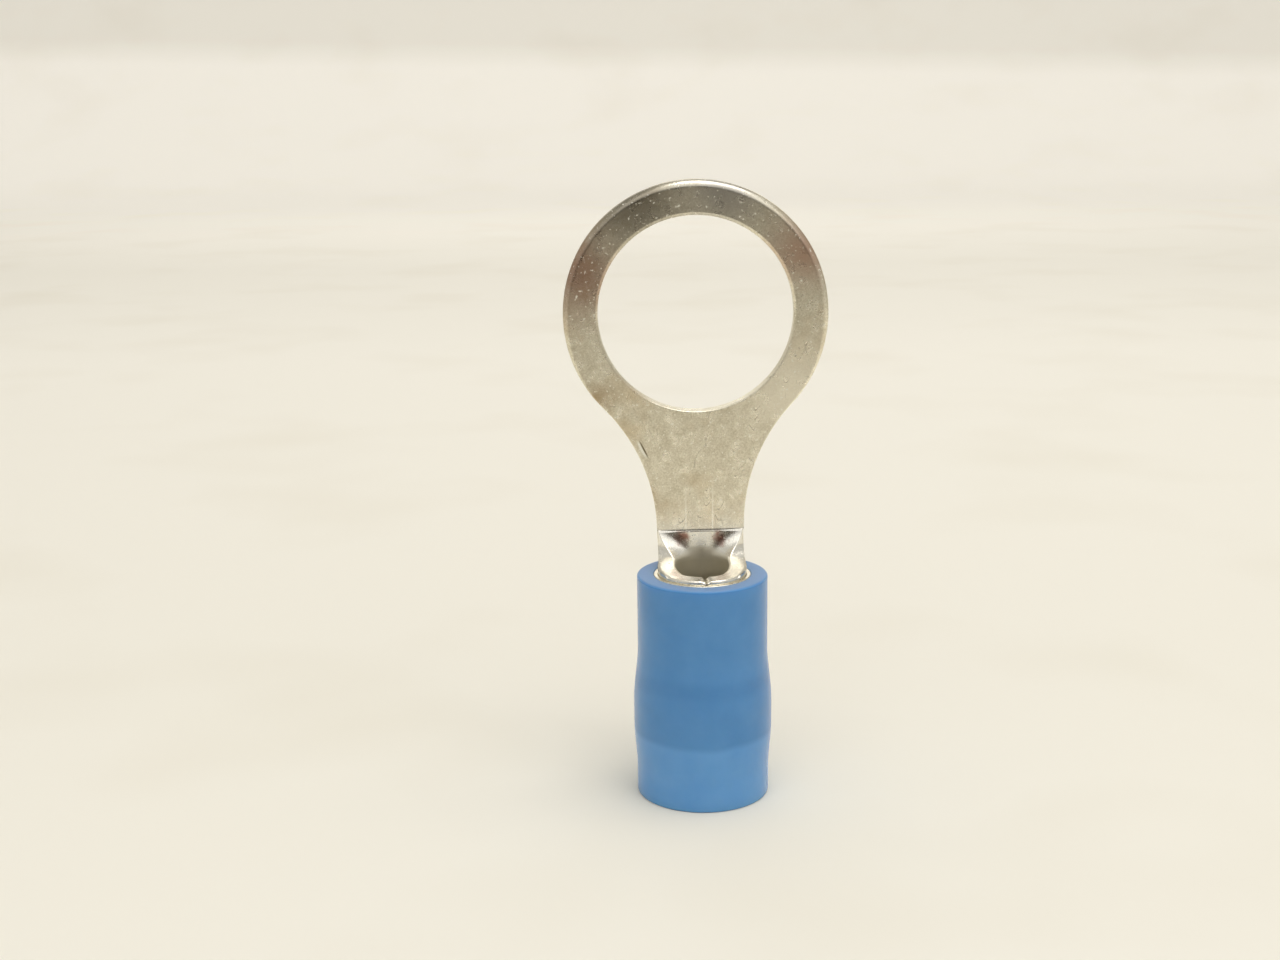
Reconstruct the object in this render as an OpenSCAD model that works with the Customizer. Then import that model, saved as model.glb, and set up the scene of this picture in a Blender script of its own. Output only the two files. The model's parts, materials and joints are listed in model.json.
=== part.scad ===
// Pre-insulated ring terminal for a crimped wire of 16 to 14 AWG and a 3/8 inch stud.
// It stands on the wire end of its insulator. The origin is the centre of that mouth,
// +Z runs up through the wire barrel to the ring, and the tongue lies at the +Y side.

/* [Tongue] */
// Diameter of the stud hole
stud_hole_d = 9.9; // [4.3:0.1:10.4]
// Outer diameter of the ring
ring_d = 13.4; // [12.8:0.1:18]
// Distance from the barrel's rim to the centre of the stud hole
ring_reach = 12.9; // [12:0.1:20]
// Thickness of the copper sheet that the terminal is stamped from
stock = 0.87; // [0.5:0.05:1.2]
// Width of the neck where it is narrowest
neck_w = 4.5; // [3:0.1:5]
// Radius of the concave edges that lead from the neck into the ring
neck_edge_r = 9.2; // [5:0.1:12]
// Sideways lean of the tongue in its own plane
lean_angle = 1; // [-2:0.1:2]

/* [Wire barrel] */
// Bore of the rolled barrel, which takes the bare strands
barrel_bore_d = 2.76; // [1.6:0.05:4]
// Length of the barrel
barrel_length = 4.9; // [4:0.1:6.5]
// Height of the barrel's rim above the insulator's mouth
barrel_stand = 0.2; // [0:0.05:1]
// Gap left in the butt seam along the front of the barrel
seam_gap = 0.06; // [0.02:0.01:0.2]
// Width of the small notch where the seam meets the rim
notch_w = 0.36; // [0.1:0.02:0.8]
// Depth of that notch
notch_depth = 0.16; // [0.05:0.01:0.4]
// Turn of the seam round the barrel, from the front towards +X
seam_turn = 3.8; // [-10:0.2:10]

/* [Trough between barrel and tongue] */
// Length over which the sheet opens from the round barrel to the flat neck
trough_length = 1.75; // [1:0.05:3]
// Half angle that the sheet wraps through where it leaves the barrel
wrap_angle = 132; // [100:1:150]
// Half angle that is left just before the sheet turns flat
crease_angle = 2; // [1:1:15]
// Part of the wrap that opens evenly along the trough
even_opening = 35; // [0:1:60]
// How quickly the rest of the wrap opens: 1 is even, more opens it sooner
opening_rate = 2.6; // [1.2:0.1:3]

/* [Support sleeve] */
// Wall of the thin sleeve round the barrel
sleeve_wall = 0.23; // [0.15:0.01:0.4]
// Bore of the wider part, which grips the wire's own insulation
grip_bore_d = 5.36; // [5:0.02:6]
// Length of the taper between the tight part and the wide part
grip_taper = 0.7; // [0.3:0.1:1.5]
// Length of the sleeve, from the insulator's mouth down
sleeve_length = 8.3; // [7:0.1:10]

/* [Insulator] */
// Length of the nylon tube
insulator_length = 11.7; // [11:0.1:16]
// Wall of the nylon over the barrel
nylon_wall = 0.84; // [0.5:0.02:1.5]
// Wall where the nylon is stretched over the wide part of the sleeve
stretched_wall = 0.65; // [0.4:0.05:1.4]
// Wall below the sleeve, where the nylon's bore is level with the sleeve's
wire_end_wall = 0.74; // [0.45:0.02:1.4]
// Length over which the nylon swells above the wide part of the sleeve
swell_length = 2.9; // [1.5:0.1:3.5]
// Length over which it draws in again below the sleeve
draw_length = 2.5; // [1:0.1:3]
// Depth of the flared lead-in at the wire end
lead_in = 0.6; // [0.2:0.05:1.2]
// How far the lead-in opens beyond that bore, in radius
lead_in_flare = 0.25; // [0.1:0.05:0.3]
// Chamfer of the nylon's outer edges
nylon_edge = 0.08; // [0.02:0.02:0.2]

/* [Fits] */
// Radial clearance between the barrel and the sleeve
sleeve_fit = 0.01; // [0:0.005:0.05]
// Radial clearance between the sleeve and the nylon
nylon_fit = 0.01; // [0:0.005:0.05]

/* [Hidden] */
$fn = 96;

// Heights, from the mouth that the part stands on
rim_z = insulator_length + barrel_stand;
barrel_end_z = rim_z - barrel_length;
grip_z = barrel_end_z - grip_taper;
sleeve_end_z = insulator_length - sleeve_length;

// Radii, from the barrel's bore outwards
bore_r = barrel_bore_d / 2;
barrel_r = bore_r + stock;
barrel_mid_r = bore_r + stock / 2;
sleeve_bore_r = barrel_r + sleeve_fit;
sleeve_r = sleeve_bore_r + sleeve_wall;
grip_bore_r = grip_bore_d / 2;
grip_r = grip_bore_r + sleeve_wall;
nylon_bore_r = sleeve_r + nylon_fit;
nylon_grip_r = grip_r + nylon_fit;
insulator_r = nylon_bore_r + nylon_wall;
swollen_r = nylon_grip_r + stretched_wall;
wire_end_r = grip_bore_r + wire_end_wall;

// The nylon starts to swell above the barrel's end and is drawn in from just above the sleeve's end
swell_above = 0.9;
draw_above = 0.4;
swell_top_z = barrel_end_z + swell_above;
swell_end_z = swell_top_z - swell_length;
draw_top_z = sleeve_end_z + draw_above;
draw_end_z = draw_top_z - draw_length;
blend_steps = 8;

// The trough is lofted through sections, and its root is sunk into the barrel's wall
trough_steps = 12;
wrap_steps = 24;
root_depth = 0.4;
root_inset = 0.03;

// The neck's concave edges run this far into the ring, so that the two outlines cross
edge_overrun = 0.02;
// Cutting solids pass this far beyond what they cut
past = 1;

// Smooth rise from 0 to 1
function ease(t) = t * t * (3 - 2 * t);
function blend(a, b, t) = a + (b - a) * ease(t);

// Half angle that the sheet wraps through, at a share t of the trough's length
function wrap(t) =
    let (early_opening = wrap_angle - crease_angle - even_opening)
        crease_angle + even_opening * (1 - t) + early_opening * pow(1 - t, opening_rate);

// Half width over the outside, which runs straight from the barrel's sides to the neck's
function side_x(t) = barrel_r + (neck_w / 2 - barrel_r) * t;

// Radius of the sheet's middle that gives that half width at that wrap
function mid_radius(t) = side_x(t) / sin(min(wrap(t), 90)) - stock / 2;

// A point of the trough: u runs from -1 to 1 across the sheet, and depth from its middle
function curled_point(t, u, depth) = [
    (mid_radius(t) + depth) * sin(u * wrap(t)),
    barrel_mid_r - mid_radius(t) + (mid_radius(t) + depth) * cos(u * wrap(t)),
    t * trough_length
];
function flat_point(u, depth) = [u * neck_w / 2, barrel_mid_r + depth, trough_length];
function trough_point(t, u, depth) = t < 1 ? curled_point(t, u, depth) : flat_point(u, depth);

// One closed section of the trough: along the outside, then back along the inside
function trough_section(t, half_stock) = [
    for (i = [0 : wrap_steps]) trough_point(t, 2 * i / wrap_steps - 1, half_stock),
    for (i = [wrap_steps : -1 : 0]) trough_point(t, 2 * i / wrap_steps - 1, -half_stock)
];
function lowered(section, drop) = [for (p = section) [p[0], p[1], p[2] - drop]];

// The sheet between barrel and neck: a half pipe that opens until it is flat
module trough() {
    root = trough_section(0, stock / 2 - root_inset);
    sections = [
        lowered(root, root_depth),
        root,
        for (k = [1 : trough_steps]) trough_section(k / trough_steps, stock / 2)
    ];
    count = len(root);
    last = len(sections) - 1;
    walls = [
        for (k = [0 : last - 1], i = [0 : count - 1])
            let (j = (i + 1) % count)
                [k * count + i, k * count + j, (k + 1) * count + j, (k + 1) * count + i]
    ];
    // Each end is a row of quads across the sheet
    foot = [for (i = [0 : wrap_steps - 1]) [i, count - 1 - i, count - 2 - i, i + 1]];
    head = [for (q = foot) [for (n = [3 : -1 : 0]) last * count + q[n]]];
    polyhedron([for (s = sections) each s], concat(walls, foot, head));
}

// Flat outline of the ring and neck, with the barrel's rim at height 0
module tongue_outline() {
    ring_r = ring_d / 2;
    edge_x = neck_w / 2 + neck_edge_r;
    edge_span = ring_r + neck_edge_r - edge_overrun;
    edge_y = ring_reach - sqrt(edge_span * edge_span - edge_x * edge_x);
    shoulder_x = ring_r * edge_x / (ring_r + neck_edge_r);
    difference() {
        translate([-shoulder_x, trough_length])
            square([2 * shoulder_x, ring_reach - trough_length]);
        for (side = [-1, 1])
            translate([side * edge_x, edge_y]) circle(neck_edge_r);
        for (side = [-1, 1])
            translate([side * edge_x - neck_edge_r, 0])
                square([2 * neck_edge_r, edge_y]);
    }
    translate([0, ring_reach]) circle(ring_r);
}

module tongue() {
    translate([0, barrel_r, 0]) rotate([90, 0, 0])
        linear_extrude(stock) difference() {
            tongue_outline();
            translate([0, ring_reach]) circle(d = stud_hole_d);
        }
}

module barrel() {
    difference() {
        translate([0, 0, barrel_end_z]) cylinder(h = barrel_length, r = barrel_r);
        translate([0, 0, barrel_end_z - past]) cylinder(h = barrel_length + 2 * past, r = bore_r);
        rotate([0, 0, seam_turn]) {
            translate([-seam_gap / 2, -barrel_r - past, barrel_end_z - past])
                cube([seam_gap, barrel_r + past, barrel_length + 2 * past]);
            translate([0, 0, rim_z]) rotate([90, 0, 0]) linear_extrude(barrel_r + past)
                polygon([[0, -notch_depth], [notch_w, notch_depth], [-notch_w, notch_depth]]);
        }
    }
}

// Tin-plated copper: the ring tongue, the trough and the rolled barrel are one stamping
module terminal() {
    color("#c9c2ae") {
        barrel();
        translate([0, 0, rim_z]) rotate([0, -lean_angle, 0]) {
            tongue();
            trough();
        }
    }
}

// Thin tin-plated sleeve, tight round the barrel and stepped out to grip the wire's insulation
module support_sleeve() {
    color("#bdb7a6") rotate_extrude() polygon([
        [sleeve_bore_r, insulator_length],
        [sleeve_r, insulator_length],
        [sleeve_r, barrel_end_z],
        [grip_r, grip_z],
        [grip_r, sleeve_end_z],
        [grip_bore_r, sleeve_end_z],
        [grip_bore_r, grip_z],
        [sleeve_bore_r, barrel_end_z]
    ]);
}

// Translucent nylon tube, stretched over the sleeve and open below for the wire
module insulator() {
    color("#5482a5") rotate_extrude() polygon([
        [grip_bore_r + lead_in_flare, 0],
        [wire_end_r - nylon_edge, 0],
        [wire_end_r, nylon_edge],
        for (i = [0 : blend_steps])
            [blend(wire_end_r, swollen_r, i / blend_steps), draw_end_z + draw_length * i / blend_steps],
        for (i = [0 : blend_steps])
            [blend(swollen_r, insulator_r, i / blend_steps), swell_end_z + swell_length * i / blend_steps],
        [insulator_r, insulator_length - nylon_edge],
        [insulator_r - nylon_edge, insulator_length],
        [nylon_bore_r, insulator_length],
        [nylon_bore_r, barrel_end_z],
        [nylon_grip_r, grip_z],
        [nylon_grip_r, sleeve_end_z],
        [grip_bore_r, sleeve_end_z],
        [grip_bore_r, lead_in]
    ]);
}

terminal();
support_sleeve();
insulator();
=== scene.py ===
"""Looks of a pre-insulated ring terminal, which stands on the wire end of its insulator.

A tinned copper stamping (ring, neck, trough and rolled barrel) sits in a thin tinned sleeve,
and both sit in a blue nylon tube. Sizes are in millimetres until a piece is finished.
"""

import json
import math

import bmesh
import bpy
from mathutils import Matrix, Vector


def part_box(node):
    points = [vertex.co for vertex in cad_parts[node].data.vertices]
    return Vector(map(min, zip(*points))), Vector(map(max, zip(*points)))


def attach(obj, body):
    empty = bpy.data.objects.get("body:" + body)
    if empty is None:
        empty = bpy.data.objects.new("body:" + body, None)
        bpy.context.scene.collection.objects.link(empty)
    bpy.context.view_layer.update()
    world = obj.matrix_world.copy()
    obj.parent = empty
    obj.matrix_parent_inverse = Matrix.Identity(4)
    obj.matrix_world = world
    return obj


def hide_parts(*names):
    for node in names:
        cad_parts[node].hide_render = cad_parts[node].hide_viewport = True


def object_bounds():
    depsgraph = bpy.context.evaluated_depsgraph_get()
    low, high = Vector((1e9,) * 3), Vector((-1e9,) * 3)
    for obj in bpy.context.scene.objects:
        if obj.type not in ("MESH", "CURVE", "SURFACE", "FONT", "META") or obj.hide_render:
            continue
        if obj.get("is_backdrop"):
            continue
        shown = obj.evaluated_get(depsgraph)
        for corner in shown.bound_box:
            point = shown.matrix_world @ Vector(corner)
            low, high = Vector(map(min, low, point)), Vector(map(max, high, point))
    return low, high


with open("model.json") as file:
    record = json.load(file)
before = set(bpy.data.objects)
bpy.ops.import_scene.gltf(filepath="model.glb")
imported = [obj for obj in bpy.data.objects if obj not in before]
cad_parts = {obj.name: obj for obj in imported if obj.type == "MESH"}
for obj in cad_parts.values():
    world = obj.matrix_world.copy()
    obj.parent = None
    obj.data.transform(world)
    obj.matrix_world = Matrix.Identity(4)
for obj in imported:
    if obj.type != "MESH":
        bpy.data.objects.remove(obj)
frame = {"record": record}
cad_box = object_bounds()
mm = 0.001


# ---- The stamping ------------------------------------------------------------------
# One piece of copper sheet: a flat blank with a pierced ring, whose tail is rolled into
# the wire barrel. The trough is where the rolled sheet opens out into the flat neck.
# It is stamped first and tin plated afterwards, so the plating covers the cut edges too.

stock = 0.87
stud_hole_r = 4.95
ring_r = 6.7
ring_reach = 12.9
neck_half = 2.25
neck_edge_r = 9.2
barrel_r = 2.25
bore_r = 1.38
seam_gap = 0.012
seam_turn = 0.066  # radians, from the front towards +X
notch_half = 0.18
notch_depth = 0.16
trough_length = 1.75
wrap_angle = math.radians(132)
crease_angle = math.radians(2)
even_opening = math.radians(35)
opening_rate = 2.6
groove_share = 0.975
groove_depth = 0.03
serration_depth = 0.08
barrel_stand = 0.2
trough_rows, trough_columns = 24, 48
neck_steps, ring_steps = 20, 132
crease_step = 0.02
tol, fine_tol = 0.01, 0.001  # how near two sizes or two heights count as the same

barrel_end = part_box("terminal")[0].z / mm
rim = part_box("insulator")[1].z / mm + barrel_stand
stud_hole = next(m for m in frame["record"]["mounts"] if m["name"] == "stud_hole")
lean = math.asin(-stud_hole["pos_m"][0] / mm / ring_reach)


def rolled(share, across, depth):
    """A point of the trough, at a share of its length and width and a depth from mid-sheet."""
    left = 1 - share
    rest = wrap_angle - crease_angle - even_opening
    wrap = crease_angle + even_opening * left + rest * left**opening_rate
    middle_r = barrel_r / math.sin(min(wrap, math.pi / 2)) - stock / 2
    return Vector(
        (
            (middle_r + depth) * math.sin(across * wrap),
            barrel_r - stock / 2 - middle_r + (middle_r + depth) * math.cos(across * wrap),
            rim + share * trough_length,
        )
    )


def eased(start, end, share):
    """A smooth change from start to end as share goes from 0 to 1."""
    share = min(max(share, 0), 1)
    return start + (end - start) * share * share * (3 - 2 * share)


def row_beyond(sheet, edges):
    """Grows the sheet by a row of faces from these edges. Gives its points and its far edges."""
    grown = bmesh.ops.extrude_edge_only(sheet, edges=edges)["geom"]
    points = {g for g in grown if isinstance(g, bmesh.types.BMVert)}
    return points, [e for e in sheet.edges if e.verts[0] in points and e.verts[1] in points]


sheet = bmesh.new()
across = sheet.verts.layers.float.new("across")
share = sheet.verts.layers.float.new("share")
flat = sheet.verts.layers.int.new("flat")

# The barrel is rolled from one side of its butt seam right round to the other
seam_half = seam_gap / 2 / barrel_r
start = seam_half - math.pi - seam_turn

# The barrel has a row of points at each height: four at each serration, one at the notch's depth
serration_rows = (1.0, 1.1, 2.2, 2.3, 3.4, 3.5)
barrel_rows = [0, 0.9, 1.0, 1.1, 1.2, 2.1, 2.2, 2.3, 2.4, 3.3, 3.4, 3.5, 3.6, 4.5, 4.74, 4.9]
line = []
for height in barrel_rows:
    corner = (barrel_r * math.sin(start), barrel_r * math.cos(start), barrel_end + height)
    line += bmesh.ops.create_vert(sheet, co=corner)["vert"]
row = line + [sheet.edges.new(pair) for pair in zip(line, line[1:])]
for turn, steps in (
    (-wrap_angle - start, 12),
    (2 * wrap_angle, trough_columns),
    (math.pi - seam_turn - seam_half - wrap_angle, 10),
):
    row = bmesh.ops.spin(
        sheet,
        geom=row,
        cent=(0, 0, 0),
        axis=(0, 0, -1),
        angle=turn,
        steps=steps,
        use_duplicate=False,
    )["geom_last"]

# The middle of its rim grows on into the trough, which opens row by row until it is flat
growing = []
for edge in sheet.edges:
    angles = [math.atan2(v.co.x, v.co.y) for v in edge.verts]
    if min(v.co.z for v in edge.verts) > rim - tol and max(map(abs, angles)) < wrap_angle + tol:
        growing.append(edge)
        for v, angle in zip(edge.verts, angles):
            v[across] = angle / wrap_angle
for step in [k / trough_rows for k in range(1, trough_rows)] + [groove_share, 1]:
    row, growing = row_beyond(sheet, growing)
    for v in row:
        v.co = rolled(step, v[across], stock / 2)
        v[share] = step
for v in row:
    v.co = Vector((v[across] * neck_half, barrel_r, rim + trough_length))
    v[flat] = 1
for edge in growing:
    edge.smooth = False

# From the crease the outline runs up both concave edges of the neck and round the ring
ring_centre = Vector((0, barrel_r, rim + ring_reach))
edge_x = neck_half + neck_edge_r
edge_z = ring_centre.z - math.sqrt((ring_r + neck_edge_r) ** 2 - edge_x**2)
shoulder_x = ring_r * edge_x / (ring_r + neck_edge_r)
shoulder_turn = math.asin(shoulder_x / ring_r)
crease = sorted(row, key=lambda v: v.co.x)
for side, corner in ((1, crease[-1]), (-1, crease[0])):
    foot = corner
    for height in (corner.co.z + crease_step, edge_z):
        above = bmesh.ops.create_vert(sheet, co=(side * neck_half, barrel_r, height))["vert"][0]
        sheet.edges.new((foot, above))
        foot = above
    shoulder = bmesh.ops.spin(
        sheet,
        geom=[foot],
        cent=(side * edge_x, barrel_r, edge_z),
        axis=(0, side, 0),
        angle=math.pi / 2 - shoulder_turn,
        steps=neck_steps,
        use_duplicate=False,
    )["geom_last"]
    if side == 1:
        bmesh.ops.spin(
            sheet,
            geom=shoulder,
            cent=ring_centre,
            axis=(0, -1, 0),
            angle=2 * math.pi - 2 * shoulder_turn,
            steps=ring_steps,
            use_duplicate=False,
        )
bmesh.ops.remove_doubles(sheet, verts=[v for v in sheet.verts if not v.link_faces], dist=0.002)

# The stud hole is pierced, and the sheet between it and the outline is flat
outline = growing + [e for e in sheet.edges if not e.link_faces]
row, _ = row_beyond(sheet, outline)
for v in row:
    v.co = ring_centre + (v.co - ring_centre).normalized() * stud_hole_r
for v in sheet.verts:
    if v.co.z > rim + trough_length + fine_tol:
        v[flat] = 1
bmesh.ops.recalc_face_normals(sheet, faces=sheet.faces)

# The sheet gets its thickness inwards, from the back face to the front one
grown = bmesh.ops.extrude_face_region(sheet, geom=sheet.faces[:])["geom"]
front = {g for g in grown if isinstance(g, bmesh.types.BMVert)}
for v in front:
    if v[flat]:
        v.co.y -= stock
    elif v[share] > 0:
        v.co = rolled(v[share], v[across], -stock / 2)
        # The punch leaves a fine groove at the crease
        if v[share] > groove_share - 0.005:
            v.co.y += groove_depth * (1 - v[across] ** 4)
    else:
        v.co.x *= bore_r / barrel_r
        v.co.y *= bore_r / barrel_r

# Three rings of serration bite into the bare strands, and a small notch marks the seam at the rim
for v in sheet.verts:
    if v in front and round(v.co.z - barrel_end, 1) in serration_rows:
        v.co.x *= 1 + serration_depth / bore_r
        v.co.y *= 1 + serration_depth / bore_r
    off_seam = abs(v.co.x - seam_turn * math.hypot(v.co.x, v.co.y))
    if v.co.y < 0 and abs(v.co.z - rim) < fine_tol and off_seam < notch_half:
        v.co.z -= notch_depth * (1 - off_seam / notch_half)

# The whole tongue leans a little in its own plane, and the trough's foot takes up the twist
pivot = Vector((0, 0, rim))
twist_length = 0.3 * trough_length
for v in sheet.verts:
    if v.co.z > rim + fine_tol:
        twist = min((v.co.z - rim) / twist_length, 1)
        v.co = Matrix.Rotation(-lean * twist, 3, "Y") @ (v.co - pivot) + pivot
ring_centre = Matrix.Rotation(-lean, 3, "Y") @ (ring_centre - pivot) + pivot

# Tumbling and plating round the cut edges, most of all the front of the ring's outline. The
# closed seam stays almost sharp, and the outer edge at the front of the rim is rounded more.
widest_round = 0.4
least_outline_round, back_outline_round = 0.06, 0.08
least_hole_round, widest_hole_round, back_hole_round = 0.08, 0.17, 0.07
rim_front_round = 0.13
seam_round = 0.008
plain_round = 0.06
round_share = sheet.edges.layers.float.new("bevel_weight_edge")
for edge in sheet.edges:
    cut_faces = sum(0 < sum(v in front for v in f.verts) < len(f.verts) for f in edge.link_faces)
    if cut_faces != 1:
        continue
    middle = (edge.verts[0].co + edge.verts[1].co) / 2
    from_centre = math.hypot(middle.x - ring_centre.x, middle.z - ring_centre.z)
    up_ring = (middle.z - ring_centre.z) / ring_r
    on_front_face = edge.verts[0] in front
    upright = abs(edge.verts[0].co.z - edge.verts[1].co.z) > 0.05
    if from_centre < stud_hole_r + 0.1:
        size = back_hole_round
        if on_front_face:
            size = eased(least_hole_round, widest_hole_round, 0.5 + up_ring)
    elif middle.z > rim + trough_length:
        size = back_outline_round
        if on_front_face:
            size = eased(least_outline_round, widest_round, 0.75 + up_ring)
    elif middle.z < rim - tol and upright:
        size = seam_round
    elif middle.z > rim - tol and middle.y < 0 and not on_front_face:
        size = rim_front_round
    else:
        size = plain_round
    edge[round_share] = size / widest_round


def finished(shape, name):
    """Makes an object of a shape drawn in millimetres, with its place in its mesh."""
    bmesh.ops.scale(shape, vec=(mm, mm, mm), verts=shape.verts)
    for face in shape.faces:
        face.smooth = True
    mesh = bpy.data.meshes.new(name)
    shape.to_mesh(mesh)
    shape.free()
    piece = bpy.data.objects.new(name, mesh)
    bpy.context.collection.objects.link(piece)
    return piece


bmesh.ops.recalc_face_normals(sheet, faces=sheet.faces)
stamping = finished(sheet, "tinned_terminal")
rounding = stamping.modifiers.new("rounded_edges", "BEVEL")
rounding.width = widest_round * mm
rounding.segments = 5
rounding.limit_method = "WEIGHT"
rounding.use_clamp_overlap = False
rounding.harden_normals = True


def linear(code):
    """An sRGB hex colour as the linear colour that Blender works in."""
    parts = [int(code[i : i + 2], 16) / 255 for i in (1, 3, 5)]
    shades = [c / 12.92 if c <= 0.04045 else ((c + 0.055) / 1.055) ** 2.4 for c in parts]
    return (*shades, 1.0)


def node(tree, kind, inputs, **settings):
    """Adds a node with its settings, and gives inputs a value or another node's output."""
    new = tree.nodes.new(kind)
    for name, value in settings.items():
        setattr(new, name, value)
    for socket, value in inputs.items():
        if isinstance(value, bpy.types.NodeSocket):
            tree.links.new(value, new.inputs[socket])
        else:
            new.inputs[socket].default_value = value
    return new


def blank_material(name):
    """A node material with nothing in it yet."""
    material = bpy.data.materials.new(name)
    material.use_nodes = True
    material.node_tree.nodes.clear()
    return material


# Tin electroplate on stamped copper, tumbled: a soft warm grey metal, finely grained and mottled
# where the plating is thicker or thinner. A brown bloom of tarnish has begun, hairline handling
# scratches cross it, and copper shows through at the two corners that the punch stretched most.
tin = blank_material("tin_electroplate_on_stamped_copper")
tree = tin.node_tree
place = node(tree, "ShaderNodeTexCoord", {})
in_mm = node(
    tree, "ShaderNodeMapping", {"Vector": place.outputs["Object"], "Scale": (1000, 1000, 1000)}
)
spot = in_mm.outputs[0]
axes = node(tree, "ShaderNodeSeparateXYZ", {"Vector": spot})

# The punch worked the front of the sheet only
on_front = node(
    tree, "ShaderNodeMapRange", {"Value": axes.outputs["Y"], "From Min": 1.75, "From Max": 1.55}
)
# Grain of about 0.1 mm over patches of about 0.6 mm
grain = node(
    tree, "ShaderNodeTexNoise", {"Vector": spot, "Scale": 11.0, "Detail": 3.0, "Roughness": 0.75}
)
mottle = node(
    tree, "ShaderNodeTexNoise", {"Vector": spot, "Scale": 1.7, "Detail": 6.0, "Roughness": 0.65}
)
mixed = node(
    tree,
    "ShaderNodeMix",
    {0: 0.55, 2: mottle.outputs["Fac"], 3: grain.outputs["Fac"]},
    data_type="FLOAT",
)
patch = node(
    tree, "ShaderNodeMapRange", {"Value": mixed.outputs[0], "From Min": 0.38, "From Max": 0.62}
)
plate = node(
    tree,
    "ShaderNodeMix",
    {0: patch.outputs[0], 6: linear("#cfc6ae"), 7: linear("#f6f0de")},
    data_type="RGBA",
)
# Tarnish: a faint bloom of about 4 mm all over, and four brown ragged places where it has set in.
# Three more ragged places are dark grey at the ring's upper left, pale grey at its top and
# near-white low on its right. Each is given by x, z, reach and shade.
bloom = node(
    tree, "ShaderNodeTexNoise", {"Vector": spot, "Scale": 0.24, "Detail": 4.0, "Roughness": 0.6}
)
stain = node(
    tree,
    "ShaderNodeMapRange",
    {"Value": bloom.outputs["Fac"], "From Min": 0.5, "From Max": 0.68, "To Max": 0.6},
)
surface = node(
    tree,
    "ShaderNodeMix",
    {0: stain.outputs[0], 6: plate.outputs[2], 7: linear("#d3bd97")},
    data_type="RGBA",
)
stain_y = 1.4  # at the front face
raggedness = 3.5
for stain_x, stain_z, reach, shade in (
    (-6.0, 26.8, 3.6, "#976a55"),
    (-3.4, 30.4, 3.8, "#7c766b"),
    (5.2, 28.0, 3.0, "#c29d88"),
    (1.2, 31.2, 3.4, "#b0ada8"),
    (-3.0, 15.6, 1.5, "#a98f66"),
    (-5.4, 20.6, 1.3, "#b0966f"),
    (4.6, 20.8, 4.4, "#fdf6e3"),
):
    away = node(
        tree,
        "ShaderNodeVectorMath",
        {0: spot, 1: (stain_x, stain_y, stain_z)},
        operation="DISTANCE",
    )
    ragged = node(
        tree,
        "ShaderNodeMath",
        {0: bloom.outputs["Fac"], 1: -raggedness, 2: away.outputs["Value"]},
        operation="MULTIPLY_ADD",
    )
    set_in = node(
        tree,
        "ShaderNodeMapRange",
        {
            "Value": ragged.outputs[0],
            "From Min": reach - raggedness / 2,
            "From Max": -raggedness / 2,
            "To Max": 0.76,
        },
        interpolation_type="SMOOTHSTEP",
    )
    surface = node(
        tree,
        "ShaderNodeMix",
        {0: set_in.outputs[0], 6: surface.outputs[2], 7: linear(shade)},
        data_type="RGBA",
    )
# The forming punch has burnished everything below the crease, and faintly the 1.6 mm above it.
# The crease leans with the tongue.
leant = node(
    tree,
    "ShaderNodeMath",
    {0: axes.outputs["X"], 1: -math.tan(lean), 2: axes.outputs["Z"]},
    operation="MULTIPLY_ADD",
)
crease_z = rim + trough_length
below_crease = node(
    tree,
    "ShaderNodeMapRange",
    {
        "Value": leant.outputs[0],
        "From Min": crease_z + 0.05,
        "From Max": crease_z - 0.05,
        "To Max": 0.35,
    },
)
towards_crease = node(
    tree,
    "ShaderNodeMapRange",
    {"Value": leant.outputs[0], "From Min": crease_z + 1.6, "From Max": crease_z, "To Max": 0.35},
)
burnished = node(
    tree,
    "ShaderNodeMath",
    {0: below_crease.outputs[0], 1: towards_crease.outputs[0]},
    operation="ADD",
)
burnished = node(
    tree, "ShaderNodeMath", {0: burnished.outputs[0], 1: on_front.outputs[0]}, operation="MULTIPLY"
)
surface = node(
    tree,
    "ShaderNodeMix",
    {0: burnished.outputs[0], 6: surface.outputs[2], 7: linear("#fbf9f3")},
    data_type="RGBA",
)
# Hairline scratches run where a slow noise, drawn out one way, crosses a few set values
drawn_out = node(
    tree,
    "ShaderNodeMapping",
    {"Vector": place.outputs["Object"], "Rotation": (0, 0.6, 0), "Scale": (1600, 900, 450)},
)
wander = node(
    tree,
    "ShaderNodeTexNoise",
    {"Vector": drawn_out.outputs[0], "Scale": 0.9, "Detail": 0.0, "Distortion": 0.3},
)
hairs = []
for level in (0.42, 0.5, 0.58):
    off_line = node(
        tree, "ShaderNodeMath", {0: wander.outputs["Fac"], 1: level}, operation="SUBTRACT"
    )
    off_line = node(tree, "ShaderNodeMath", {0: off_line.outputs[0]}, operation="ABSOLUTE")
    hairs.append(off_line.outputs[0])
nearest = node(tree, "ShaderNodeMath", {0: hairs[0], 1: hairs[1]}, operation="MINIMUM")
nearest = node(tree, "ShaderNodeMath", {0: nearest.outputs[0], 1: hairs[2]}, operation="MINIMUM")
hairline = node(
    tree,
    "ShaderNodeMapRange",
    {
        "Value": nearest.outputs[0],
        "From Min": 0.0015,
        "From Max": 0.007,
        "To Min": 1.0,
        "To Max": 0.0,
    },
)
gaps = node(
    tree, "ShaderNodeMapRange", {"Value": mottle.outputs["Fac"], "From Min": 0.5, "From Max": 0.56}
)
broken = node(
    tree, "ShaderNodeMath", {0: hairline.outputs[0], 1: gaps.outputs[0]}, operation="MULTIPLY"
)
scratch = node(tree, "ShaderNodeMath", {0: broken.outputs[0], 1: 0.36}, operation="MULTIPLY")
scratched = node(
    tree,
    "ShaderNodeMix",
    {0: scratch.outputs[0], 6: surface.outputs[2], 7: linear("#857c68")},
    data_type="RGBA",
)
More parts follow.
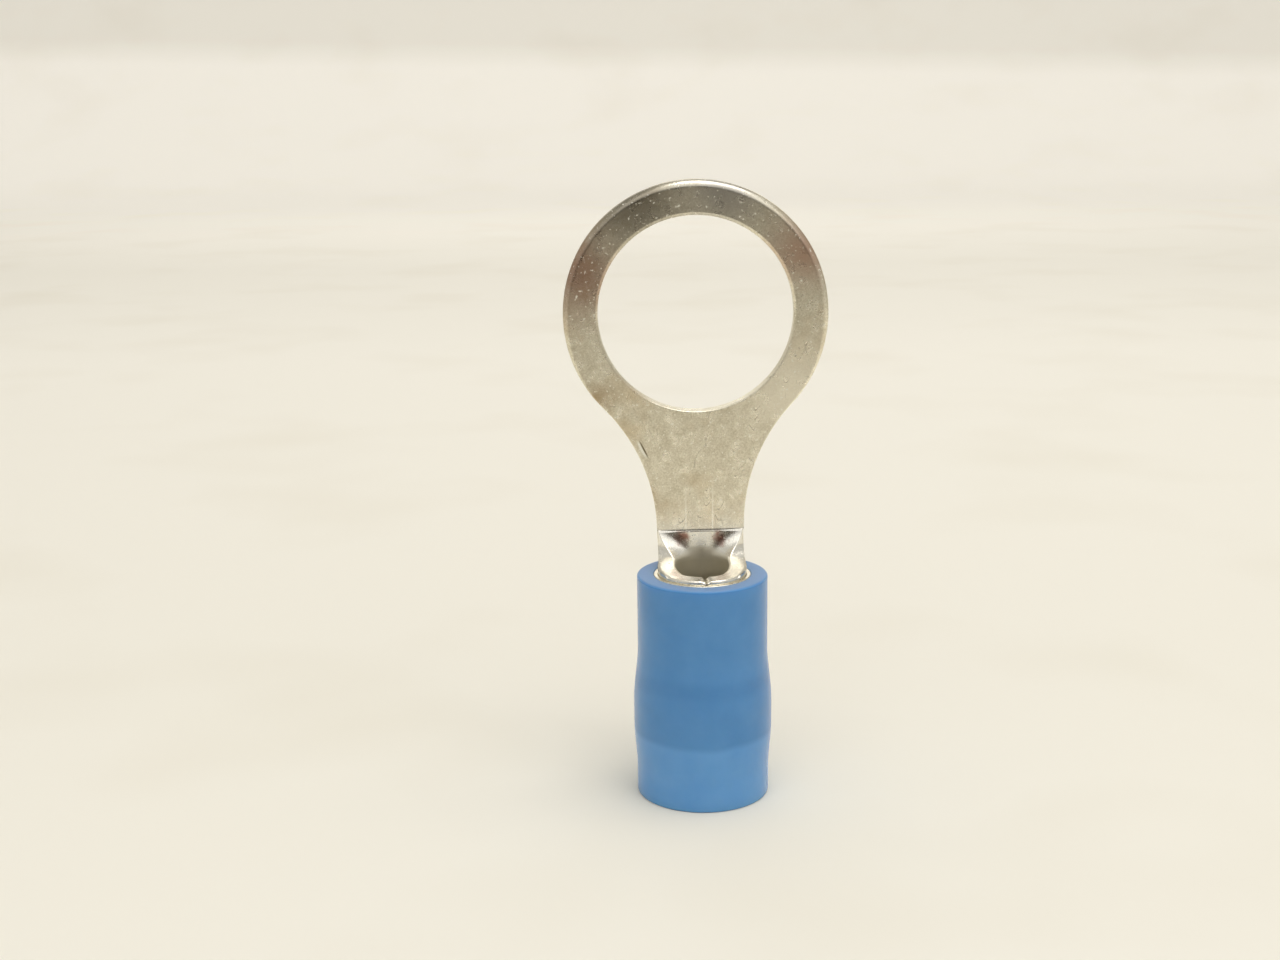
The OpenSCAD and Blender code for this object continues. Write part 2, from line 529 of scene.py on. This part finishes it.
# Sparse dents from tumbling, about 0.1 mm wide, are rougher and scatter the light; their sparkle is
# painted highlight, as near-white spots
pitting = node(tree, "ShaderNodeTexNoise", {"Vector": spot, "Scale": 7.0, "Detail": 1.0})
dent = node(
    tree,
    "ShaderNodeMapRange",
    {"Value": pitting.outputs["Fac"], "From Min": 0.68, "From Max": 0.74, "To Max": 0.8},
)
# A nick beside the left edge of the neck, 1.1 mm long, painted as a pale, rougher line along a dark
# one: painted highlight on its raised burr and painted shade in its groove
nick_highlight_and_shade = []
for nick_x, nick_half in ((-3.02, 0.09), (-2.91, 0.05)):
    along = node(
        tree,
        "ShaderNodeMapping",
        {
            "Vector": spot,
            "Location": (nick_x, barrel_r - stock, 17.9),
            "Rotation": (0, -0.47, 0),
            "Scale": (nick_half, 0.2, 0.55),
        },
        vector_type="TEXTURE",
    )
    off_nick = node(tree, "ShaderNodeVectorMath", {0: along.outputs[0]}, operation="LENGTH")
    nick_highlight_and_shade.append(
        node(
            tree,
            "ShaderNodeMapRange",
            {"Value": off_nick.outputs["Value"], "From Min": 1.1, "From Max": 0.6},
        )
    )
pale_marks = node(
    tree, "ShaderNodeMath", {0: dent.outputs[0], 1: nick_highlight_and_shade[0].outputs[0]}, operation="MAXIMUM"
)
# Painted highlight: the dents and the nick's burr are painted near-white
sparkling = node(
    tree,
    "ShaderNodeMix",
    {0: pale_marks.outputs[0], 6: scratched.outputs[2], 7: linear("#fffcf0")},
    data_type="RGBA",
)
# Painted shade: the nick's groove is a dark line
nicked = node(
    tree,
    "ShaderNodeMix",
    {0: nick_highlight_and_shade[1].outputs[0], 6: sparkling.outputs[2], 7: linear("#85795f")},
    data_type="RGBA",
)
# Two upright forming lines, about 0.07 mm wide, run down to the crease and a little past it
line_height = node(
    tree,
    "ShaderNodeMapRange",
    {"Value": axes.outputs["Z"], "From Min": rim + 4.4, "From Max": rim + 2.0},
)
above_bore = node(
    tree,
    "ShaderNodeMapRange",
    {"Value": axes.outputs["Z"], "From Min": rim + 1.0, "From Max": rim + 1.2},
)
marks = []
for line_x in (0.6, -0.78):
    beside = node(tree, "ShaderNodeMath", {0: axes.outputs["X"], 1: line_x}, operation="SUBTRACT")
    beside = node(tree, "ShaderNodeMath", {0: beside.outputs[0]}, operation="ABSOLUTE")
    marks.append(
        node(
            tree,
            "ShaderNodeMapRange",
            {
                "Value": beside.outputs[0],
                "From Min": 0.02,
                "From Max": 0.05,
                "To Min": 1.0,
                "To Max": 0.0,
            },
        )
    )
marked = node(
    tree, "ShaderNodeMath", {0: marks[0].outputs[0], 1: marks[1].outputs[0]}, operation="MAXIMUM"
)
for held_to in (line_height, above_bore, on_front):
    marked = node(
        tree, "ShaderNodeMath", {0: marked.outputs[0], 1: held_to.outputs[0]}, operation="MULTIPLY"
    )
drawn_lines = node(
    tree,
    "ShaderNodeMix",
    {0: marked.outputs[0], 6: nicked.outputs[2], 7: linear("#fdf9ec")},
    data_type="RGBA",
)
# Copper shows in two ragged spots of about 0.5 mm, just under the crease
bared = []
for spot_x in (-1.0, 1.0):
    away = node(
        tree, "ShaderNodeVectorMath", {0: spot, 1: (spot_x, 1.25, rim + 1.3)}, operation="DISTANCE"
    )
    ragged = node(
        tree,
        "ShaderNodeMath",
        {0: away.outputs["Value"], 1: mottle.outputs["Fac"]},
        operation="ADD",
    )
    bared.append(
        node(
            tree,
            "ShaderNodeMapRange",
            {
                "Value": ragged.outputs[0],
                "From Min": 0.62,
                "From Max": 0.95,
                "To Min": 0.85,
                "To Max": 0.0,
            },
        )
    )
copper = node(
    tree, "ShaderNodeMath", {0: bared[0].outputs[0], 1: bared[1].outputs[0]}, operation="MAXIMUM"
)
bare = node(
    tree,
    "ShaderNodeMix",
    {0: copper.outputs[0], 6: drawn_lines.outputs[2], 7: linear("#a06a58")},
    data_type="RGBA",
)
# The plating is thin and dull inside the barrel
level = node(tree, "ShaderNodeVectorMath", {0: spot, 1: (1, 1, 0)}, operation="MULTIPLY")
off_axis = node(tree, "ShaderNodeVectorMath", {0: level.outputs[0]}, operation="LENGTH")
in_bore = node(
    tree,
    "ShaderNodeMapRange",
    {"Value": off_axis.outputs["Value"], "From Min": bore_r + 0.12, "From Max": bore_r + 0.05},
)
below_rim = node(
    tree,
    "ShaderNodeMapRange",
    {"Value": axes.outputs["Z"], "From Min": rim + 0.9, "From Max": rim + 0.1},
)
inside = node(
    tree, "ShaderNodeMath", {0: in_bore.outputs[0], 1: below_rim.outputs[0]}, operation="MULTIPLY"
)
within = node(
    tree,
    "ShaderNodeMix",
    {0: inside.outputs[0], 6: bare.outputs[2], 7: linear("#d6cfba")},
    data_type="RGBA",
)
# Painted shade: a thin dark line on the front along the fine groove at the crease stands in for the
# shadow in it
off_crease = node(
    tree, "ShaderNodeMath", {0: leant.outputs[0], 1: crease_z - 0.01}, operation="SUBTRACT"
)
off_crease = node(tree, "ShaderNodeMath", {0: off_crease.outputs[0]}, operation="ABSOLUTE")
groove = node(
    tree,
    "ShaderNodeMapRange",
    {
        "Value": off_crease.outputs[0],
        "From Min": 0.01,
        "From Max": 0.06,
        "To Min": 0.6,
        "To Max": 0.0,
    },
)
painted_crease_shadow = node(
    tree, "ShaderNodeMath", {0: groove.outputs[0], 1: on_front.outputs[0]}, operation="MULTIPLY"
)
crease_shadowed = node(
    tree,
    "ShaderNodeMix",
    {0: painted_crease_shadow.outputs[0], 6: within.outputs[2], 7: linear("#4d473b")},
    data_type="RGBA",
)
# Plating is smoother where it is thick or burnished
dull = node(
    tree,
    "ShaderNodeMapRange",
    {
        "Value": mottle.outputs["Fac"],
        "From Min": 0.3,
        "From Max": 0.7,
        "To Min": 0.36,
        "To Max": 0.24,
    },
)
shiny = node(
    tree, "ShaderNodeMix", {0: burnished.outputs[0], 2: dull.outputs[0], 3: 0.21}, data_type="FLOAT"
)
scattered = node(
    tree,
    "ShaderNodeMix",
    {0: pale_marks.outputs[0], 2: shiny.outputs[0], 3: 0.55},
    data_type="FLOAT",
)
duller = node(
    tree,
    "ShaderNodeMix",
    {0: inside.outputs[0], 2: scattered.outputs[0], 3: 0.7},
    data_type="FLOAT",
)
relief = node(
    tree, "ShaderNodeMath", {0: grain.outputs["Fac"], 1: broken.outputs[0]}, operation="SUBTRACT"
)
grained = node(
    tree, "ShaderNodeBump", {"Height": relief.outputs[0], "Strength": 0.6, "Distance": 0.000006}
)
uneven = node(
    tree,
    "ShaderNodeBump",
    {
        "Height": mottle.outputs["Fac"],
        "Strength": 0.5,
        "Distance": 0.00001,
        "Normal": grained.outputs[0],
    },
)
metal = node(
    tree,
    "ShaderNodeBsdfPrincipled",
    {
        "Base Color": crease_shadowed.outputs[2],
        "Metallic": 1.0,
        "Roughness": duller.outputs[0],
        "Normal": uneven.outputs[0],
    },
)
node(tree, "ShaderNodeOutputMaterial", {"Surface": metal.outputs[0]})
stamping.data.materials.append(tin)
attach(stamping, "root")
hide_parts("terminal")


# ---- The sleeve --------------------------------------------------------------------
# A short thin copper tube, drawn, stepped out at its lower end and tin plated. It is
# pushed over the barrel, and its wide end is crimped on the wire's own insulation.

sleeve_wall = 0.23
sleeve_fit = 0.01
grip_taper = 0.7
sleeve_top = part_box("support_sleeve")[1].z / mm
sleeve_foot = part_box("support_sleeve")[0].z / mm
sleeve_bore = barrel_r + sleeve_fit
grip_bore = 2.68
grip_top = barrel_end - grip_taper


def turned(profile, steps=128):
    """Spins a closed profile of (radius, height) points once round the upright axis."""
    shape = bmesh.new()
    corners = [bmesh.ops.create_vert(shape, co=(r, 0, z))["vert"][0] for r, z in profile]
    sides = [shape.edges.new(pair) for pair in zip(corners, corners[1:] + corners[:1])]
    bmesh.ops.spin(
        shape,
        geom=corners + sides,
        cent=(0, 0, 0),
        axis=(0, 0, 1),
        angle=2 * math.pi,
        steps=steps,
        use_merge=True,
        use_duplicate=False,
    )
    bmesh.ops.recalc_face_normals(shape, faces=shape.faces)
    return shape


def rounded_rings(shape, corners):
    """Rounds the ring edges at each (radius, height) by the size given with it."""
    for radius, height, size in corners:
        edges = [
            e
            for e in shape.edges
            if all(
                abs(math.hypot(v.co.x, v.co.y) - radius) < tol and abs(v.co.z - height) < tol
                for v in e.verts
            )
        ]
        bmesh.ops.bevel(
            shape, geom=edges, offset=size, segments=4, profile=0.5, affect="EDGES", material=-1
        )


tube = turned(
    [
        (sleeve_bore, sleeve_top),
        (sleeve_bore + sleeve_wall, sleeve_top),
        (sleeve_bore + sleeve_wall, barrel_end),
        (grip_bore + sleeve_wall, grip_top),
        (grip_bore + sleeve_wall, sleeve_foot),
        (grip_bore, sleeve_foot),
        (grip_bore, grip_top),
        (sleeve_bore, barrel_end),
    ]
)
rounded_rings(
    tube,
    [
        (sleeve_bore, sleeve_top, 0.05),
        (sleeve_bore + sleeve_wall, sleeve_top, 0.06),
        (grip_bore, sleeve_foot, 0.06),
        (grip_bore + sleeve_wall, sleeve_foot, 0.06),
    ],
)
sleeve = finished(tube, "tinned_sleeve")
flats = sleeve.modifiers.new("true_flats", "WEIGHTED_NORMAL")
flats.mode = "FACE_AREA"

# Tin electroplate on drawn tube: brighter and smoother than the stamping, with the faint upright
# lines that drawing leaves, about 0.15 mm apart and several millimetres long.
drawn = blank_material("tin_electroplate_on_drawn_tube")
tree = drawn.node_tree
place = node(tree, "ShaderNodeTexCoord", {})
streak = node(
    tree, "ShaderNodeMapping", {"Vector": place.outputs["Object"], "Scale": (7000, 7000, 300)}
)
lines = node(tree, "ShaderNodeTexNoise", {"Vector": streak.outputs[0], "Scale": 1.0, "Detail": 3.0})
colour = node(
    tree,
    "ShaderNodeMix",
    {0: lines.outputs["Fac"], 6: linear("#d6ccb2"), 7: linear("#f6f1e2")},
    data_type="RGBA",
)
dull = node(
    tree, "ShaderNodeMapRange", {"Value": lines.outputs["Fac"], "To Min": 0.16, "To Max": 0.4}
)
metal = node(
    tree,
    "ShaderNodeBsdfPrincipled",
    {"Base Color": colour.outputs[2], "Metallic": 1.0, "Roughness": dull.outputs[0]},
)
node(tree, "ShaderNodeOutputMaterial", {"Surface": metal.outputs[0]})
sleeve.data.materials.append(drawn)
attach(sleeve, "root")
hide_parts("support_sleeve")


# ---- The insulator -----------------------------------------------------------------
# A tube of blue nylon 6/6, extruded, cut to length and expanded over the sleeve. The
# sleeve's wide end swells it, and below that it draws in again to a flared wire entry.

insulator_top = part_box("insulator")[1].z / mm
nylon_bore = 2.5
nylon_grip = 2.92
nylon_wall, stretched_wall, wire_end_wall = 0.84, 0.65, 0.74
swell_above, swell_length = 0.9, 2.9
draw_above, draw_length = 0.4, 2.5
lead_in, lead_in_flare = 0.6, 0.25
outline_steps = 20

insulator_r = nylon_bore + nylon_wall
swollen_r = nylon_grip + stretched_wall
wire_end_r = grip_bore + wire_end_wall
swell_top = barrel_end + swell_above
swell_foot = swell_top - swell_length
draw_top = sleeve_foot + draw_above
draw_foot = draw_top - draw_length

# Outside, the tube swells from the wire end up to the sleeve's wide part and draws in above it
shares = [k / outline_steps for k in range(outline_steps + 1)]
outer = [(eased(wire_end_r, swollen_r, t), draw_foot + draw_length * t) for t in shares]
outer += [(eased(swollen_r, insulator_r, t), swell_foot + swell_length * t) for t in shares]
nylon = turned(
    [(grip_bore + lead_in_flare, 0), (wire_end_r, 0), (wire_end_r, 0.5)]
    + outer
    + [
        (insulator_r, 9.5),
        (insulator_r, 11.0),
        (insulator_r, insulator_top),
        (nylon_bore, insulator_top),
        (nylon_bore, barrel_end),
        (nylon_grip, grip_top),
        (nylon_grip, sleeve_foot),
        (grip_bore, sleeve_foot),
        (grip_bore, lead_in),
    ],
    steps=160,
)
rounded_rings(
    nylon,
    [
        (insulator_r, insulator_top, 0.13),
        (nylon_bore, insulator_top, 0.04),
        (wire_end_r, 0, 0.1),
        (grip_bore + lead_in_flare, 0, 0.08),
    ],
)
insulator = finished(nylon, "nylon_insulator")
flats = insulator.modifiers.new("true_flats", "WEIGHTED_NORMAL")
flats.mode = "FACE_AREA"

# Nylon 6/6, dyed through and extruded: a milky translucent blue with a soft gloss, matt on its cut
# top. Its colour is painted deeper where the metal sleeve stands behind it and lighter below the
# sleeve's end: painted shade and painted light for the light that shines through the nylon only
# where the sleeve is not.
blue = blank_material("nylon_66_dyed_blue_extruded")
tree = blue.node_tree
place = node(tree, "ShaderNodeTexCoord", {})
in_mm = node(
    tree, "ShaderNodeMapping", {"Vector": place.outputs["Object"], "Scale": (1000, 1000, 1000)}
)
spot = in_mm.outputs[0]
axes = node(tree, "ShaderNodeSeparateXYZ", {"Vector": spot})
# Clouding of about 2 mm in the dye
cloud = node(tree, "ShaderNodeTexNoise", {"Vector": spot, "Scale": 0.45, "Detail": 4.0})
sleeve_shaded_blue = node(
    tree,
    "ShaderNodeMix",
    {0: cloud.outputs["Fac"], 6: linear("#3f83c0"), 7: linear("#5b9ad2")},
    data_type="RGBA",
)
through_lit_blue = node(
    tree,
    "ShaderNodeMix",
    {0: cloud.outputs["Fac"], 6: linear("#5095d5"), 7: linear("#6eaae1")},
    data_type="RGBA",
)
waved = node(
    tree,
    "ShaderNodeMath",
    {0: cloud.outputs["Fac"], 1: 0.5, 2: axes.outputs["Z"]},
    operation="MULTIPLY_ADD",
)
sleeve_edge = node(
    tree,
    "ShaderNodeMapRange",
    {"Value": waved.outputs[0], "From Min": sleeve_foot + 0.05, "From Max": sleeve_foot + 0.5},
    interpolation_type="SMOOTHSTEP",
)
# Painted shade over the sleeve, painted light below its end
depth = node(
    tree,
    "ShaderNodeMix",
    {0: sleeve_edge.outputs[0], 6: through_lit_blue.outputs[2], 7: sleeve_shaded_blue.outputs[2]},
    data_type="RGBA",
)
# The taper of the sleeve shows through as a faint darker band of painted shade, about 0.8 mm high
off_taper = node(
    tree,
    "ShaderNodeMath",
    {0: waved.outputs[0], 1: (grip_top + barrel_end) / 2},
    operation="SUBTRACT",
)
off_taper = node(tree, "ShaderNodeMath", {0: off_taper.outputs[0]}, operation="ABSOLUTE")
taper_band = node(
    tree,
    "ShaderNodeMapRange",
    {"Value": off_taper.outputs[0], "From Min": 0.7, "From Max": 0.1, "To Max": 0.16},
    interpolation_type="SMOOTHSTEP",
)
banded = node(
    tree,
    "ShaderNodeMix",
    {0: taper_band.outputs[0], 6: depth.outputs[2], 7: linear("#2f6ca8")},
    data_type="RGBA",
)
cut_end = node(
    tree,
    "ShaderNodeMapRange",
    {
        "Value": axes.outputs["Z"],
        "From Min": insulator_top - 0.1,
        "From Max": insulator_top - 0.02,
        "To Min": 0.24,
        "To Max": 0.5,
    },
)
at_end = node(
    tree,
    "ShaderNodeMapRange",
    {
        "Value": axes.outputs["Z"],
        "From Min": insulator_top - 0.06,
        "From Max": insulator_top - 0.01,
        "To Max": 0.5,
    },
)
scuffed = node(
    tree,
    "ShaderNodeMix",
    {0: at_end.outputs[0], 6: banded.outputs[2], 7: linear("#8fa4c6")},
    data_type="RGBA",
)
ripple = node(tree, "ShaderNodeTexNoise", {"Vector": spot, "Scale": 0.9, "Detail": 3.0})
rippled = node(
    tree, "ShaderNodeBump", {"Height": ripple.outputs["Fac"], "Strength": 0.5, "Distance": 0.00004}
)
plastic = node(
    tree,
    "ShaderNodeBsdfPrincipled",
    {
        "Base Color": scuffed.outputs[2],
        "Roughness": cut_end.outputs[0],
        "Normal": rippled.outputs[0],
        "IOR": 1.53,
        "Transmission Weight": 0.12,
        "Subsurface Weight": 0.35,
        "Subsurface Radius": (0.4, 0.7, 1.0),
        "Subsurface Scale": mm,
        "Sheen Weight": 0.2,
        "Sheen Roughness": 0.35,
        "Sheen Tint": linear("#cfc4e6"),
    },
)
node(tree, "ShaderNodeOutputMaterial", {"Surface": plastic.outputs[0]})
insulator.data.materials.append(blue)
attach(insulator, "root")
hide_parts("insulator")


# ---- The table ---------------------------------------------------------------------
# A sheet of cream paper that rises in a soft curve far behind the part. It is not part of
# the object. Seen in the metal, it fades to a dim room towards the front.

paper_half = 1200
paper_front, paper_back = -2000, 400
curve_r = 160
wall_height = 500

paper = bmesh.new()
corners = [
    bmesh.ops.create_vert(paper, co=(x, paper_front, 0))["vert"][0]
    for x in (-paper_half, paper_half)
]
grown = bmesh.ops.extrude_edge_only(paper, edges=[paper.edges.new(corners)])["geom"]
far_points = [g for g in grown if isinstance(g, bmesh.types.BMVert)]
bmesh.ops.translate(paper, vec=(0, paper_back - paper_front, 0), verts=far_points)
fold = [g for g in grown if isinstance(g, bmesh.types.BMEdge)]
bent = bmesh.ops.spin(
    paper,
    geom=fold + list(fold[0].verts),
    cent=(0, paper_back, curve_r),
    axis=(1, 0, 0),
    angle=math.pi / 2,
    steps=16,
    use_duplicate=False,
)["geom_last"]
bent_edges = [g for g in bent if isinstance(g, bmesh.types.BMEdge)]
wall = bmesh.ops.extrude_edge_only(paper, edges=bent_edges)["geom"]
top_points = [g for g in wall if isinstance(g, bmesh.types.BMVert)]
bmesh.ops.translate(paper, vec=(0, 0, wall_height), verts=top_points)
bmesh.ops.recalc_face_normals(paper, faces=paper.faces)
table = finished(paper, "paper_table")
table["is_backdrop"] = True

# Uncoated cream paper: matt, with very faint smudges about 25 mm wide.
cream = blank_material("cream_paper")
tree = cream.node_tree
place = node(tree, "ShaderNodeTexCoord", {})
in_mm = node(
    tree, "ShaderNodeMapping", {"Vector": place.outputs["Object"], "Scale": (1000, 1000, 1000)}
)
spot = in_mm.outputs[0]
axes = node(tree, "ShaderNodeSeparateXYZ", {"Vector": spot})
smudge = node(tree, "ShaderNodeTexNoise", {"Vector": spot, "Scale": 0.04, "Detail": 2.0})
smudged = node(
    tree, "ShaderNodeMapRange", {"Value": smudge.outputs["Fac"], "From Min": 0.5, "From Max": 0.8}
)
pale = node(
    tree,
    "ShaderNodeMix",
    {0: smudged.outputs[0], 6: linear("#ebe7dc"), 7: linear("#e6e1d4")},
    data_type="RGBA",
)
# Seen in the metal, the paper ends in a dim room straight in front of the part
ahead = node(
    tree, "ShaderNodeMapRange", {"Value": axes.outputs["Y"], "From Min": -95.0, "From Max": -260.0}
)
sideways = node(tree, "ShaderNodeMath", {0: axes.outputs["X"]}, operation="ABSOLUTE")
straight = node(
    tree, "ShaderNodeMapRange", {"Value": sideways.outputs[0], "From Min": 230.0, "From Max": 90.0}
)
off_paper = node(
    tree, "ShaderNodeMath", {0: ahead.outputs[0], 1: straight.outputs[0]}, operation="MULTIPLY"
)
rays = node(tree, "ShaderNodeLightPath", {})
dim = node(
    tree,
    "ShaderNodeMath",
    {0: off_paper.outputs[0], 1: rays.outputs["Is Glossy Ray"]},
    operation="MULTIPLY",
)
seen = node(
    tree,
    "ShaderNodeMix",
    {0: dim.outputs[0], 6: pale.outputs[2], 7: linear("#4c443a")},
    data_type="RGBA",
)
# To the camera alone, the far paper glows up to a faint sloping fold line and is greyer above it
fold_line = node(
    tree,
    "ShaderNodeMath",
    {0: axes.outputs["X"], 1: 0.022, 2: axes.outputs["Z"]},
    operation="MULTIPLY_ADD",
)
near = node(
    tree,
    "ShaderNodeMapRange",
    {"Value": axes.outputs["Y"], "From Min": 20.0, "From Max": 140.0, "To Max": 0.08},
)
far = node(
    tree,
    "ShaderNodeMapRange",
    {"Value": axes.outputs["Y"], "From Min": 250.0, "From Max": 440.0, "To Max": 0.2},
)
above_fold = node(
    tree,
    "ShaderNodeMapRange",
    {
        "Value": fold_line.outputs[0],
        "From Min": 36.0,
        "From Max": 44.0,
        "To Min": 1.0,
        "To Max": 0.5,
    },
)
glow = node(
    tree,
    "ShaderNodeMath",
    {0: far.outputs[0], 1: above_fold.outputs[0], 2: near.outputs[0]},
    operation="MULTIPLY_ADD",
)
strength = node(
    tree,
    "ShaderNodeMath",
    {0: glow.outputs[0], 1: rays.outputs["Is Camera Ray"]},
    operation="MULTIPLY",
)
matt = node(
    tree,
    "ShaderNodeBsdfPrincipled",
    {
        "Base Color": seen.outputs[2],
        "Roughness": 0.9,
        "Specular IOR Level": 0.2,
        "Emission Color": linear("#fffcfa"),
        "Emission Strength": strength.outputs[0],
    },
)
node(tree, "ShaderNodeOutputMaterial", {"Surface": matt.outputs[0]})
table.data.materials.append(cream)


# ---- Light -------------------------------------------------------------------------
# Soft studio light: broad lamps overhead and in front, a weak low one behind, and a pale room
# all round. Seen in the metal, the room is dim low down, straight in front of the part.

room = bpy.data.worlds.new("pale_room")
bpy.context.scene.world = room
room.use_nodes = True
tree = room.node_tree
tree.nodes.clear()
direction = node(tree, "ShaderNodeTexCoord", {})
axes = node(tree, "ShaderNodeSeparateXYZ", {"Vector": direction.outputs["Generated"]})
forward = node(
    tree, "ShaderNodeMapRange", {"Value": axes.outputs["Y"], "From Min": -0.66, "From Max": -0.88}
)
low = node(
    tree, "ShaderNodeMapRange", {"Value": axes.outputs["Z"], "From Min": 0.85, "From Max": 0.35}
)
dark = node(
    tree, "ShaderNodeMath", {0: forward.outputs[0], 1: low.outputs[0]}, operation="MULTIPLY"
)
rays = node(tree, "ShaderNodeLightPath", {})
dim = node(
    tree,
    "ShaderNodeMath",
    {0: dark.outputs[0], 1: rays.outputs["Is Glossy Ray"]},
    operation="MULTIPLY",
)
seen = node(
    tree,
    "ShaderNodeMix",
    {0: dim.outputs[0], 6: linear("#ebe8e0"), 7: linear("#5c5447")},
    data_type="RGBA",
)
level = node(
    tree,
    "ShaderNodeMapRange",
    {"Value": rays.outputs["Is Camera Ray"], "To Min": 0.68, "To Max": 1.0},
)
sky = node(tree, "ShaderNodeBackground", {"Color": seen.outputs[2], "Strength": level.outputs[0]})
node(tree, "ShaderNodeOutputWorld", {"Surface": sky.outputs[0]})


def lamp(name, place, width, depth, power):
    """A soft rectangular lamp at a place in millimetres that faces the part."""
    data = bpy.data.lights.new(name, "AREA")
    data.shape = "RECTANGLE"
    data.size = width * mm
    data.size_y = depth * mm
    data.energy = power
    light = bpy.data.objects.new(name, data)
    bpy.context.collection.objects.link(light)
    light.location = Vector(place) * mm
    aim = Vector((0, 0, 15 * mm)) - light.location
    light.rotation_euler = aim.to_track_quat("-Z", "Y").to_euler()
    light.visible_camera = False


lamp("overhead_lamp", (60, -20, 400), width=260, depth=260, power=0.65)
lamp("front_lamp", (40, -260, 320), width=600, depth=400, power=0.5)
lamp("back_lamp", (0, 380, 135), width=300, depth=70, power=0.08)


# ---- Camera ------------------------------------------------------------------------
# It looks slightly down on the ring's front face, and the frame leans by under a degree.

down, frame_lean = 13.21, 0.667  # degrees

lens = bpy.data.cameras.new("camera")
lens.sensor_width = 36
lens.lens = 49.463
lens.clip_start = 0.005
camera = bpy.data.objects.new("camera", lens)
bpy.context.collection.objects.link(camera)
camera.location = Vector((-3.126, -86.495, 36.928)) * mm
tilt = Matrix.Rotation(math.radians(90 - down), 3, "X")
roll = Matrix.Rotation(math.radians(-frame_lean), 3, "Z")
camera.rotation_euler = (tilt @ roll).to_euler()
bpy.context.scene.camera = camera
bpy.context.scene.view_settings.view_transform = "Standard"

size = {"cad": [list(c) for c in cad_box], "visual": [list(c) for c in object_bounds()]}
